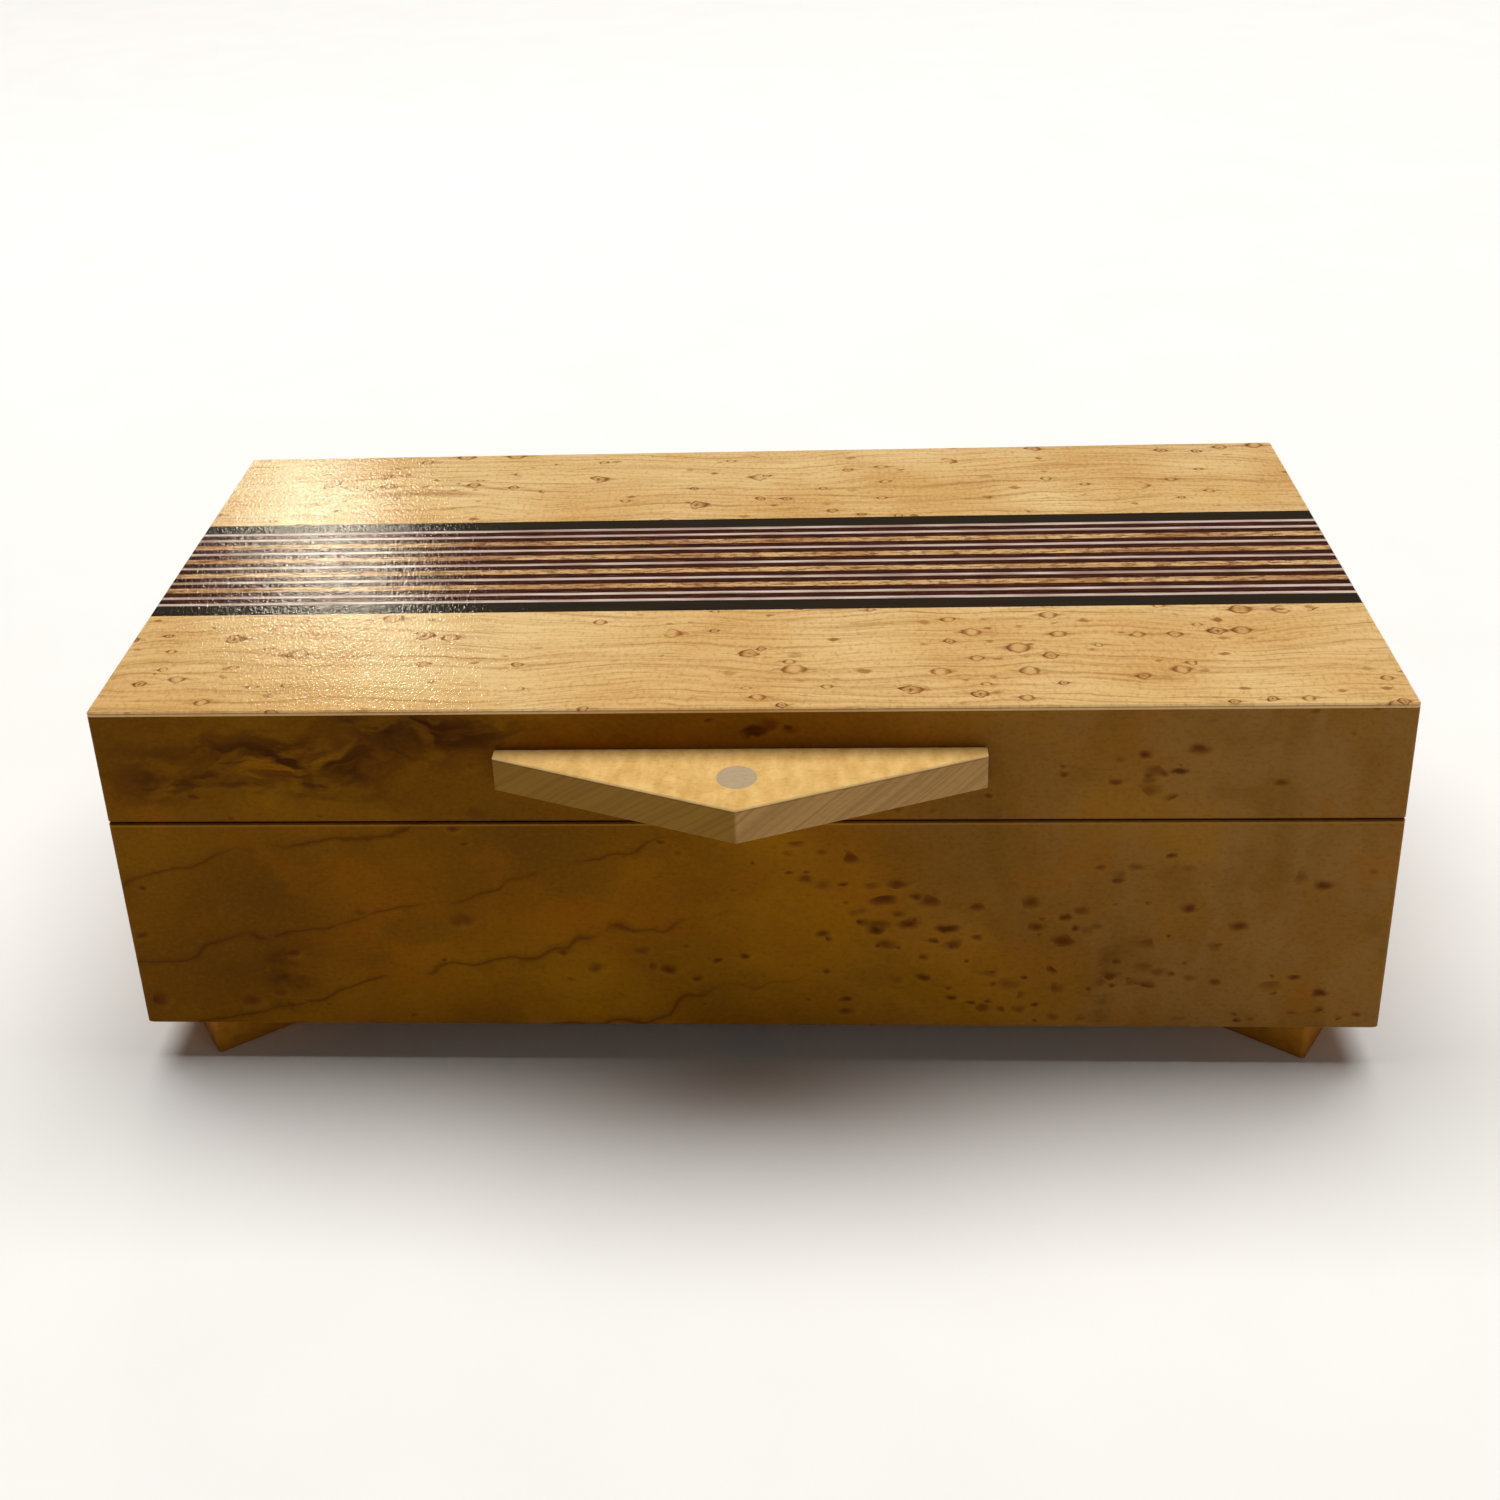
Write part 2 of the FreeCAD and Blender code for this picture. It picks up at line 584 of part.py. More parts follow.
def main():
    os.makedirs("parts", exist_ok=True)
    cuts = {"base": [], "lid": []}
    screws = {"base": [], "lid": []}
    for x, side in ((-HINGE_X, "left"), (HINGE_X, "right")):
        taken, made = hinge_parts(x, side)
        for name in cuts:
            cuts[name] += taken[name]
            screws[name] += made[name]
    for name, made in screws.items():
        write(f"hinge_{name}_screws", *made)
    build_base(cuts["base"])
    build_lid(cuts["lid"])
    build_latch()


main()
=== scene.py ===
import json
import math

import bmesh
import bpy
from mathutils import Matrix, Vector, noise


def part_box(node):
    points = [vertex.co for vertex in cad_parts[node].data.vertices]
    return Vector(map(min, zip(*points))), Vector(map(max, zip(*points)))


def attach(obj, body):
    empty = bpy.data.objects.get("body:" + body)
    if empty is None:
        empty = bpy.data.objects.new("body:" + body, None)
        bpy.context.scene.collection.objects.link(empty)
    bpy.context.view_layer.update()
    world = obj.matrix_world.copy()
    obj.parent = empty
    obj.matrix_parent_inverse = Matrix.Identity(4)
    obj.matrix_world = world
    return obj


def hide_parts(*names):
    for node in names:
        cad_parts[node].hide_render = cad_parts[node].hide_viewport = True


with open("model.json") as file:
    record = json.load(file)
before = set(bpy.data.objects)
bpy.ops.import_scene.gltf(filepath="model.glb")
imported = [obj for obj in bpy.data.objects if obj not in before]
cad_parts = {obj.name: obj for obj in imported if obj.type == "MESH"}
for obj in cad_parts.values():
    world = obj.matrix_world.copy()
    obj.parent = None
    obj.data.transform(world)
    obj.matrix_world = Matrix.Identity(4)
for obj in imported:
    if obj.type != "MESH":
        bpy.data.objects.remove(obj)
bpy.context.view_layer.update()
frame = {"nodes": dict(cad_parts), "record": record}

MM = 0.001


def corners(node):
    """A node's lowest and highest corners at rest, as two vectors in metres."""
    low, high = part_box(node)
    return Vector(low), Vector(high)


# ---- places, from the frame ------------------------------------------------------------------------
# These are in millimetres, as the materials are. Only the light lines' two corners are in metres.
BASE_TOP = corners("base_front_veneer")[1].z / MM
LID_BOTTOM = corners("lid_front_veneer")[0].z / MM
TOP = corners("top_veneer_front")[1].z / MM
PULL_TOP = corners("pull_handle")[1].z / MM
FOOT_TOP = corners("foot_front_left")[1].z / MM
LINES_LOW, LINES_HIGH = corners("inlay_light_lines")
BAND_MIDDLE = (LINES_LOW.y + LINES_HIGH.y) / 2 / MM


def srgb(red, green, blue):
    """A linear colour from the 0 to 255 values that a screen shows."""
    def linear(v):
        v = v / 255
        return v / 12.92 if v <= 0.04045 else ((v + 0.055) / 1.055) ** 2.4
    return (linear(red), linear(green), linear(blue), 1.0)


# ---- a short way to write node graphs --------------------------------------------------------------
class Graph:
    """One material's nodes. Positions inside it are in millimetres in the frame's own axes."""

    def __init__(self, name):
        self.material = bpy.data.materials.new(name)
        self.material.use_nodes = True
        self.tree = self.material.node_tree
        self.tree.nodes.clear()
        place = self.node("ShaderNodeTexCoord").outputs["Object"]
        self.place = self.vector("MULTIPLY", place, (1 / MM, 1 / MM, 1 / MM))
        self.x, self.y, self.z = self.split(self.place)

    def node(self, kind, **settings):
        """A new node with some of its properties set."""
        made = self.tree.nodes.new(kind)
        for key, value in settings.items():
            setattr(made, key, value)
        return made

    def feed(self, socket, value):
        """Links a socket to another one, or gives it a plain value."""
        if isinstance(value, bpy.types.NodeSocket):
            self.tree.links.new(value, socket)
        else:
            socket.default_value = value

    def math(self, operation, first, second=0.0, third=0.0):
        made = self.node("ShaderNodeMath", operation=operation)
        for socket, value in zip(made.inputs, (first, second, third)):
            self.feed(socket, value)
        return made.outputs[0]

    def add(self, *values):
        total = values[0]
        for value in values[1:]:
            total = self.math("ADD", total, value)
        return total

    def times(self, *values):
        total = values[0]
        for value in values[1:]:
            total = self.math("MULTIPLY", total, value)
        return total

    def minus(self, first, second):
        return self.math("SUBTRACT", first, second)

    def largest(self, *values):
        total = values[0]
        for value in values[1:]:
            total = self.math("MAXIMUM", total, value)
        return total

    def vector(self, operation, first, second):
        made = self.node("ShaderNodeVectorMath", operation=operation)
        self.feed(made.inputs[0], first)
        self.feed(made.inputs[1], second)
        return made.outputs[0]

    def split(self, vector):
        made = self.node("ShaderNodeSeparateXYZ")
        self.feed(made.inputs[0], vector)
        return made.outputs[0], made.outputs[1], made.outputs[2]

    def join(self, x=0.0, y=0.0, z=0.0):
        made = self.node("ShaderNodeCombineXYZ")
        for socket, value in zip(made.inputs, (x, y, z)):
            self.feed(socket, value)
        return made.outputs[0]

    def noise(self, vector, scale=1.0, detail=2.0, roughness=0.5, distortion=0.0):
        """A noise value centred on 0.5. Its features are about 1 / scale across in the vector's own units.

        Where a vector is joined from two measures, its third number only picks another slice of the noise.
        """
        made = self.node("ShaderNodeTexNoise")
        self.feed(made.inputs["Vector"], vector)
        made.inputs["Scale"].default_value = scale
        made.inputs["Detail"].default_value = detail
        made.inputs["Roughness"].default_value = roughness
        made.inputs["Distortion"].default_value = distortion
        return made.outputs[0]

    def swing(self, vector, scale, amount, **settings):
        """A noise value from about -amount to +amount."""
        return self.times(self.minus(self.noise(vector, scale, **settings), 0.5), 2 * amount)

    def cells(self, vector, scale):
        """Voronoi cells in a plane: the nearest point's place, and three random numbers of its own."""
        made = self.node("ShaderNodeTexVoronoi", voronoi_dimensions="2D", feature="F1")
        self.feed(made.inputs["Vector"], vector)
        made.inputs["Scale"].default_value = scale
        return made.outputs["Position"], self.split(made.outputs["Color"])

    def step(self, value, low, high, start=0.0, end=1.0):
        """A smooth step from start to end as value goes from low to high."""
        made = self.node("ShaderNodeMapRange", interpolation_type="SMOOTHSTEP")
        for socket, setting in zip(made.inputs, (value, low, high, start, end)):
            self.feed(socket, setting)
        return made.outputs[0]

    def bell(self, value, width):
        """One at value 0, fading to nothing over a few widths."""
        ratio = self.math("DIVIDE", value, width)
        return self.math("POWER", math.e, self.times(ratio, ratio, -1.0))

    def mix(self, amount, first, second, keep=1.0):
        """The first colour with some of the second over it; keep holds the amount down."""
        if keep != 1.0:
            amount = self.times(amount, keep)
        made = self.node("ShaderNodeMix", data_type="RGBA")
        self.feed(made.inputs[0], amount)
        self.feed(made.inputs[6], first)
        self.feed(made.inputs[7], second)
        return made.outputs[2]

    def ramp(self, value, *stops):
        """A colour ramp from (position, colour) stops."""
        made = self.node("ShaderNodeValToRGB")
        elements = made.color_ramp.elements
        while len(elements) < len(stops):
            elements.new(0.5)
        for element, (position, colour) in zip(elements, stops):
            element.position = position
            element.color = colour
        self.feed(made.inputs[0], value)
        return made.outputs[0]

    def bump(self, height, depth_mm, strength=1.0):
        """A normal from a height of 0 to 1 that stands for depth_mm."""
        made = self.node("ShaderNodeBump")
        made.inputs["Strength"].default_value = strength
        made.inputs["Distance"].default_value = depth_mm * MM
        self.feed(made.inputs["Height"], height)
        return made.outputs[0]

    def finish(self, colour, roughness=0.4, normal=None, **settings):
        """Closes the graph with one Principled shader. Settings are its plain sockets by name."""
        shader = self.node("ShaderNodeBsdfPrincipled")
        self.feed(shader.inputs["Base Color"], colour)
        self.feed(shader.inputs["Roughness"], roughness)
        if normal is not None:
            self.feed(shader.inputs["Normal"], normal)
        for key, value in settings.items():
            shader.inputs[key.replace("_", " ")].default_value = value
        end = self.node("ShaderNodeOutputMaterial")
        self.tree.links.new(shader.outputs[0], end.inputs["Surface"])
        return self.material


FAR_AWAY = 50.0         # added to the outline distance of an eye that is left out
LACQUER_ROUGHNESS = 0.14
PEEL_PER_MM = 1.6       # the orange peel's noise scale
PEEL_DEPTH = 0.09       # mm


def eye_field(g, u, v, cell, width, height, seed, keep, pointed=True):
    """Scattered eyes in the u, v plane, almond-shaped when pointed and oval when not.

    Returns the distance from the nearest eye's middle (1 on its outline), that eye's own random number, and
    how far u and v lie from its middle in half widths and half heights. There is one eye to a cell at most,
    of 0.55 to 1.3 times the given size, and fewer are left where keep is low.
    """
    flat = g.join(g.add(u, seed), v, 0.0)
    spot, (chance, size, kind) = g.cells(flat, 1 / cell)
    spot_u, spot_v, _ = g.split(spot)
    grow = g.add(0.55, g.times(size, size, 0.75))
    du = g.math("DIVIDE", g.minus(g.add(u, seed), spot_u), g.times(grow, width / 2))
    dv = g.math("DIVIDE", g.minus(v, spot_v), g.times(grow, height / 2))
    if pointed:
        distance = g.add(g.math("ABSOLUTE", du), g.times(dv, dv))
    else:
        distance = g.math("SQRT", g.add(g.times(du, du), g.times(dv, dv)))
    gone = g.math("GREATER_THAN", chance, keep)
    return g.add(distance, g.times(gone, FAR_AWAY)), kind, du, dv


def lacquer(g, colour):
    """Glossy lacquer with a fine orange peel, which breaks a highlight into sparkles."""
    peel = g.noise(g.join(g.x, g.times(g.y, 0.6), g.z), PEEL_PER_MM, detail=1.0)
    return g.finish(colour, LACQUER_ROUGHNESS, g.bump(peel, PEEL_DEPTH), Specular_IOR_Level=0.5)


# ---- woods -----------------------------------------------------------------------------------------
MAPLE_DARK = srgb(218, 174, 108)
MAPLE = srgb(230, 192, 130)
MAPLE_PALE = srgb(238, 206, 148)
MAPLE_LINE = srgb(168, 112, 52)
EYE_FILL = srgb(198, 144, 80)
EYE_LIGHT = srgb(234, 198, 138)
EYE_BROWN = srgb(150, 92, 38)
EYE_DARK = srgb(108, 58, 18)
EDGE_TAN = srgb(222, 172, 98)
# Painted highlight for the pull's eased top edge.
EDGE_HIGHLIGHT = srgb(246, 214, 150)
EDGE_DARK_LINE = srgb(92, 50, 14)
BURL = srgb(134, 85, 6)
# Tan for the burl's real mottle, greyed as painted sheen from light on the right.
BURL_TAN_SHEEN = srgb(148, 107, 54)
BURL_OLIVE = srgb(116, 76, 10)
BURL_ORANGE = srgb(156, 90, 4)
BURL_GOLD = srgb(158, 106, 8)
BURL_DARK = srgb(88, 50, 4)
BURL_SMOKE = srgb(60, 24, 3)
BURL_EYE = srgb(88, 41, 3)
BURL_HALO = srgb(168, 118, 36)
# Painted shade, for the gap at the seam and under the box's edge on the feet.
PAINTED_SEAM_SHADE = srgb(52, 14, 4)
FOOT = srgb(172, 112, 28)
FOOT_LINE = srgb(128, 76, 14)
EDGE_START = 0.42       # mm below the lid's face where the maple's edge turns tan
DARK_LINE_DROP = 0.50        # mm below the lid's face to the thin dark line in that edge
RIM_HIGHLIGHT_DROP = 0.60         # mm below the base's rim to the painted highlight along it
GROWTH_PITCH = 4.2      # mm between the maple's growth lines
GROWTH_SHIFT = 400.0    # mm, which sets where they fall
VEIN_PITCH = 24.0       # mm between the burl's thin veins, measured upwards
VEIN_RISE = 0.26        # mm that they climb for each mm across
VEIN_SHIFT = 17 * VEIN_PITCH    # keeps the measure across them above zero


def birdseye_maple():
    """Golden maple veneer: wavy growth lines that part round small ringed eyes."""
    g = Graph("birdseye_maple")
    jitter_u = g.add(g.x, g.swing(g.place, 1 / 2.5, 0.8))
    jitter_v = g.add(g.y, g.swing(g.vector("ADD", g.place, (90.0, 0.0, 0.0)), 1 / 2.5, 0.9))
    crowd = g.noise(g.join(g.x, g.y, 7.0), 1 / 40, detail=1.0)
    keep = g.step(crowd, 0.38, 0.64, 0.12, 0.60)
    eye, kind, du, dv = eye_field(
        g, jitter_u, jitter_v, cell=9.4, width=4.8, height=3.6, seed=300.0, keep=keep)
    small, small_kind, _, _ = eye_field(
        g, jitter_u, jitter_v, cell=8.0, width=3.2, height=1.8, seed=811.0, keep=g.times(keep, 0.7))

    sway = g.swing(g.join(g.times(g.x, 0.5), g.y, 0.0), 1 / 45, 13.0, detail=2.0)
    ripple = g.swing(g.join(g.times(g.x, 0.7), g.y, 3.0), 1 / 7, 1.0, detail=2.0)
    part = g.times(g.step(eye, 0.0, 3.5, 1.0, 0.0), dv, -1.3)
    grain = g.add(g.y, sway, ripple, part)

    shift = g.swing(g.join(g.times(g.x, 0.004), g.times(grain, 0.14), 9.0), 1.0, 4.0, detail=2.0)
    growth = g.math("PINGPONG", g.add(grain, shift, GROWTH_SHIFT), GROWTH_PITCH / 2)
    along = g.noise(g.join(g.times(g.x, 0.018), g.times(grain, 0.22), 1.0), 1.0, detail=2.0)
    soft = g.noise(g.join(g.times(g.x, 0.012), g.times(grain, 0.45), 6.0), 1.0, detail=2.0)
    strands = g.join(g.times(g.x, 0.05), g.times(grain, 1.5), 5.0)
    thread = g.noise(strands, 1.0, detail=3.0, roughness=0.6)
    tone = g.noise(g.place, 1 / 40, detail=2.0, roughness=0.5)
    grit = g.join(g.times(g.x, 0.9), g.times(g.y, 0.55), 2.0)
    dust = g.noise(grit, 1.0, detail=2.0, roughness=0.6)

    colour = g.ramp(tone, (0.32, MAPLE_DARK), (0.50, MAPLE), (0.68, MAPLE_PALE))
    colour = g.mix(g.step(soft, 0.48, 0.70, 0.0, 0.28), colour, MAPLE_LINE)
    thin = g.times(g.bell(growth, 0.24), g.step(along, 0.40, 0.62, 0.08, 0.62))
    wide = g.times(g.bell(growth, 0.75), g.step(along, 0.40, 0.62, 0.0, 0.16))
    colour = g.mix(thin, colour, MAPLE_LINE)
    colour = g.mix(wide, colour, MAPLE_LINE)
    colour = g.mix(g.step(thread, 0.48, 0.70, 0.0, 0.52), colour, MAPLE_LINE)
    colour = g.mix(g.step(dust, 0.50, 0.72, 0.0, 0.36), colour, MAPLE_LINE)
    colour = g.mix(g.step(dust, 0.48, 0.28, 0.0, 0.35), colour, EYE_LIGHT)

    side = g.math("ABSOLUTE", du)
    lopsided = g.step(du, 0.9, -0.9, 0.65, 1.0)
    colour = g.mix(g.times(g.step(eye, 1.15, 0.7), 0.55), colour, EYE_FILL)
    colour = g.mix(g.times(g.step(eye, 0.75, 0.25), g.step(kind, 0.7, 0.4), 0.30), colour, EYE_LIGHT)
    colour = g.mix(g.times(g.step(eye, 1.15, 0.8), g.step(side, 0.25, 0.85), 0.85), colour, EYE_BROWN)
    ring = g.times(g.bell(g.minus(eye, 0.95), 0.20), lopsided, g.add(0.50, g.times(kind, 0.5)))
    colour = g.mix(ring, colour, EYE_DARK)
    colour = g.mix(g.times(g.bell(eye, 0.22), g.step(kind, 0.5, 0.9), 0.8), colour, EYE_DARK)
    tail = g.times(g.bell(dv, 0.30), g.step(side, 0.9, 1.2), g.step(eye, 3.2, 1.2))
    colour = g.mix(g.times(tail, 0.45), colour, EYE_BROWN)
    fleck = g.times(g.step(small, 1.3, 0.5), g.add(0.35, g.times(small_kind, 0.55)))
    colour = g.mix(fleck, colour, EYE_BROWN)

    edge = g.step(g.z, TOP - EDGE_START, TOP - EDGE_START - 0.1)
    colour = g.mix(g.times(edge, 0.8), colour, EDGE_TAN)
    dark_line = g.bell(g.minus(g.z, TOP - DARK_LINE_DROP), 0.11)
    colour = g.mix(g.times(dark_line, 0.85), colour, EDGE_DARK_LINE)
    return lacquer(g, colour)


def near_spots(g, u, v, spots, base=0.0):
    """How close the point is to the nearest soft ellipse, from base far away to its weight in its middle.

    A spot is its middle's u and v, its radius in u, its radius in v, and its weight.
    """
    total = base
    for cu, cv, ru, rv, weight in spots:
        du = g.math("DIVIDE", g.minus(u, cu), ru)
        dv = g.math("DIVIDE", g.minus(v, cv), rv)
        fall = g.math("POWER", math.e, g.times(g.add(g.times(du, du), g.times(dv, dv)), -1.0))
        total = g.largest(total, g.times(fall, weight))
    return total


# Where the burl's features gather, in millimetres across the face and up from the floor. The end faces
# are drawn END_SHIFT mm away from the long ones, so that they get other figures from the same noise.
END_SHIFT = 420.0
LONG_EYES = [
    (36, 43, 15, 13, 0.9), (62, 24, 13, 8, 1.0), (84, 18, 8, 5, 0.8), (78, 42, 9, 9, 0.7),
    (93, 55, 16, 9, 0.55), (102, 32, 14, 12, 1.0), (96, 86, 8, 6, 0.9), (134, 20, 15, 7, 1.0),
    (16, 60, 14, 8, 0.5), (-18, 30, 22, 10, 0.3), (6, 101, 10, 2.5, 0.8), (-118, 18, 10, 5, 0.5)]
LONG_SMOKE = [
    (-112, 91, 28, 10, 1.0), (-78, 98, 22, 7, 1.0), (-138, 86, 14, 6, 0.7), (-119, 27, 7, 10, 0.5),
    (88, 24, 3, 12, 0.4)]
LONG_KNOTS = [
    (4, 99.5, 4.0, 2.0, 1.0), (12, 101, 1.6, 1.0, 0.7), (104, 88, 2.8, 1.1, 0.8),
    (97, 85, 2.4, 1.1, 0.8), (33, 43, 4.5, 2.4, 0.7), (50, 42, 4.2, 1.8, 0.8),
    (84, 30, 1.8, 7.5, 0.35)]
LONG_ORANGE = [
    (-92, 38, 16, 16, 0.9), (-40, 46, 26, 9, 0.8), (24, 52, 14, 20, 0.5), (60, 30, 20, 10, 0.5),
    (-30, 92, 24, 8, 0.5)]
LONG_GOLD = [
    (14, 40, 26, 22, 0.9), (50, 22, 26, 14, 0.9), (-60, 26, 24, 8, 0.4), (140, 22, 16, 8, 0.5)]
END_EYES = [
    (398, 46, 16, 12, 0.9), (440, 26, 16, 8, 0.9), (470, 50, 12, 12, 0.6), (430, 90, 12, 7, 0.7)]
END_SMOKE = [(456, 92, 22, 9, 1.0), (386, 24, 14, 8, 0.7)]
END_KNOTS = [(402, 44, 4.0, 2.0, 0.9), (446, 30, 3.0, 1.6, 0.8)]
END_ORANGE = [(420, 40, 24, 16, 0.8), (380, 90, 18, 8, 0.5)]
END_GOLD = [(460, 30, 24, 16, 0.8), (400, 80, 18, 12, 0.5)]


# The two sizes of burl eye: cell, width and height in mm, seed, and the share kept where a weight is 1.
BURL_EYES = ((6.4, 6.0, 3.5, 500.0, 0.9), (4.4, 3.2, 2.1, 900.0, 0.6))
STRAY_EYES = 0.045      # the weight away from the clusters, so that a few eyes stray


def burl(name, long_side):
    """Dark golden burl veneer: smoky swirls, thin wandering veins and clusters of soft dark eyes."""
    g = Graph(name)
    v = g.z
    if long_side:
        u = g.x
        eyes, smokes, knots = LONG_EYES, LONG_SMOKE, LONG_KNOTS
        oranges, golds = LONG_ORANGE, LONG_GOLD
    else:
        u = g.add(g.y, END_SHIFT)
        eyes, smokes, knots = END_EYES, END_SMOKE, END_KNOTS
        oranges, golds = END_ORANGE, END_GOLD
    flat = g.join(u, v, 0.0)
    warp_u = g.swing(g.join(u, v, 41.0), 1 / 22, 9.0, detail=3.0)
    warp_v = g.swing(g.join(u, v, 67.0), 1 / 22, 7.0, detail=3.0)
    swirl_u, swirl_v = g.add(u, warp_u), g.add(v, warp_v)

    tone = g.noise(g.join(swirl_u, swirl_v, 0.0), 1 / 48, detail=2.0, roughness=0.5)
    cloud = g.noise(g.join(g.times(swirl_u, 0.8), swirl_v, 31.0), 1 / 17, detail=3.0, roughness=0.55)
    silk = g.noise(g.join(g.times(u, 0.30), g.times(v, 1.0), 4.0), 1.0, detail=3.0, roughness=0.65)
    speck = g.noise(g.join(u, g.times(v, 1.2), 14.0), 0.8, detail=3.0, roughness=0.7)

    colour = g.ramp(tone, (0.32, BURL_OLIVE), (0.50, BURL), (0.68, BURL_GOLD))
    # A long side is mottled tan, the mottle faded in towards the right as painted light, and darker towards
    # the left as painted shade.
    if long_side:
        patches = g.join(g.times(swirl_u, 1.1), g.times(swirl_v, 0.45), 58.0)
        mottle = g.noise(patches, 1 / 15, detail=2.0)
        tan = g.times(g.step(u, -10.0, 140.0, 0.0, 1.0), g.step(mottle, 0.36, 0.60, 0.55, 1.0))
        colour = g.mix(tan, colour, BURL_TAN_SHEEN, keep=0.90)
        # Painted shade, darkening a long side towards its left.
        colour = g.mix(g.step(u, 20.0, -150.0, 0.0, 0.42), colour, BURL_DARK)
    orange = near_spots(g, swirl_u, swirl_v, oranges)
    gold = near_spots(g, swirl_u, swirl_v, golds)
    colour = g.mix(g.times(gold, g.step(cloud, 0.62, 0.40, 0.35, 1.0), 0.85), colour, BURL_GOLD)
    colour = g.mix(g.times(orange, g.step(cloud, 0.35, 0.60, 0.35, 1.0), 0.90), colour, BURL_ORANGE)
    colour = g.mix(g.step(cloud, 0.55, 0.72, 0.0, 0.35), colour, BURL_ORANGE)
    colour = g.mix(g.step(cloud, 0.46, 0.30, 0.0, 0.35), colour, BURL_OLIVE)
    colour = g.mix(g.step(silk, 0.50, 0.74, 0.0, 0.20), colour, BURL_DARK)
    colour = g.mix(g.step(speck, 0.48, 0.72, 0.0, 0.26), colour, BURL_DARK)
    colour = g.mix(g.step(speck, 0.48, 0.28, 0.0, 0.14), colour, BURL_HALO)

    smoke = near_spots(g, swirl_u, swirl_v, smokes)
    wisp = g.join(g.times(swirl_u, 0.7), g.times(swirl_v, 1.5), 12.0)
    puff = g.noise(wisp, 1 / 12, detail=4.0, roughness=0.55, distortion=0.9)
    heart = g.join(g.times(swirl_u, 0.5), g.times(swirl_v, 1.2), 77.0)
    core = g.noise(heart, 1 / 6, detail=3.0, roughness=0.6)
    colour = g.mix(g.times(smoke, g.step(puff, 0.34, 0.60), 0.80), colour, BURL_SMOKE)
    colour = g.mix(g.times(smoke, g.step(core, 0.46, 0.60), 0.85), colour, BURL_SMOKE)

    bend = g.swing(flat, 1 / 34, 13.0, detail=2.0)
    wiggle = g.swing(flat, 1 / 8, 2.4, detail=3.0, roughness=0.4)
    rise = g.add(v, g.times(u, -VEIN_RISE), bend, wiggle)
    vein = g.math("PINGPONG", g.add(rise, VEIN_SHIFT), VEIN_PITCH / 2)
    faint = g.step(g.noise(flat, 1 / 22, detail=1.0), 0.38, 0.55)
    # On a long side the veins keep to the left of the base, and the lid has none.
    veiny = g.times(g.step(u, 30.0, -20.0), g.step(v, 76.0, 73.0)) if long_side else 0.5
    colour = g.mix(g.times(g.bell(vein, 0.40), faint, veiny), colour, BURL_SMOKE, keep=0.50)
    colour = g.mix(g.times(g.bell(vein, 1.3), faint, veiny), colour, BURL_DARK, keep=0.30)

    bent_u = g.add(u, g.swing(g.join(u, v, 500.0), 1 / 4, 1.8, detail=3.0))
    bent_v = g.add(v, g.swing(g.join(u, v, 509.0), 1 / 4, 1.2, detail=3.0))
    for cell, width, height, seed, share in BURL_EYES:
        keep = g.times(near_spots(g, u, v, eyes, base=STRAY_EYES), share)
        eye, kind, _, dv = eye_field(g, bent_u, bent_v, cell, width, height, seed, keep, pointed=False)
        halo = g.times(g.step(eye, 2.2, 1.0), g.step(dv, -0.6, 0.8, 0.16, 0.03))
        spot = g.times(g.step(eye, 1.45, 0.10), g.add(0.42, g.times(kind, 0.55)))
        colour = g.mix(halo, colour, BURL_HALO)
        colour = g.mix(spot, colour, BURL_EYE)

    knot = g.step(near_spots(g, bent_u, bent_v, knots), 0.25, 0.75)
    colour = g.mix(g.times(knot, g.step(core, 0.66, 0.42, 0.55, 1.0)), colour, BURL_SMOKE, keep=0.80)

    # A painted highlight along the base's eased rim, just below the seam.
    rim = g.bell(g.minus(g.z, BASE_TOP - RIM_HIGHLIGHT_DROP), 0.25)
    colour = g.mix(g.times(rim, 0.70), colour, BURL_HALO)
    # Painted shade of the gap between lid and base, on the veneer at both sides of the seam.
    seam = g.bell(g.minus(g.z, (BASE_TOP + LID_BOTTOM) / 2 + 0.08), 0.42)
    colour = g.mix(g.times(seam, 0.95), colour, PAINTED_SEAM_SHADE)
    normal = g.bump(speck, depth_mm=0.03, strength=0.4)
    return g.finish(colour, roughness=0.45, normal=normal, Specular_IOR_Level=0.02)


def straight_wood(name, dark, mid, light, run="X"):
    """Plain straight-grained wood. run is the axis that the grain follows, X or Y."""
    g = Graph(name)
    stretch = {"X": (0.02, 0.6, 0.6), "Y": (0.6, 0.02, 0.6)}[run]
    bend = g.swing(g.place, 1 / 40, 3.0, detail=2.0)
    shifted = g.vector("ADD", g.place, g.join(bend, bend, bend))
    lines = g.noise(g.vector("MULTIPLY", shifted, stretch), 1.0, detail=4.0, roughness=0.6)
    pores = g.noise(g.vector("MULTIPLY", shifted, tuple(5 * s for s in stretch)), 1.0, detail=2.0)
    colour = g.ramp(lines, (0.30, dark), (0.50, mid), (0.70, light))
    colour = g.mix(g.step(pores, 0.56, 0.72, 0.0, 0.4), colour, dark)
    normal = g.bump(pores, depth_mm=0.03, strength=0.5)
    return g.finish(colour, roughness=0.5, normal=normal, Specular_IOR_Level=0.4)


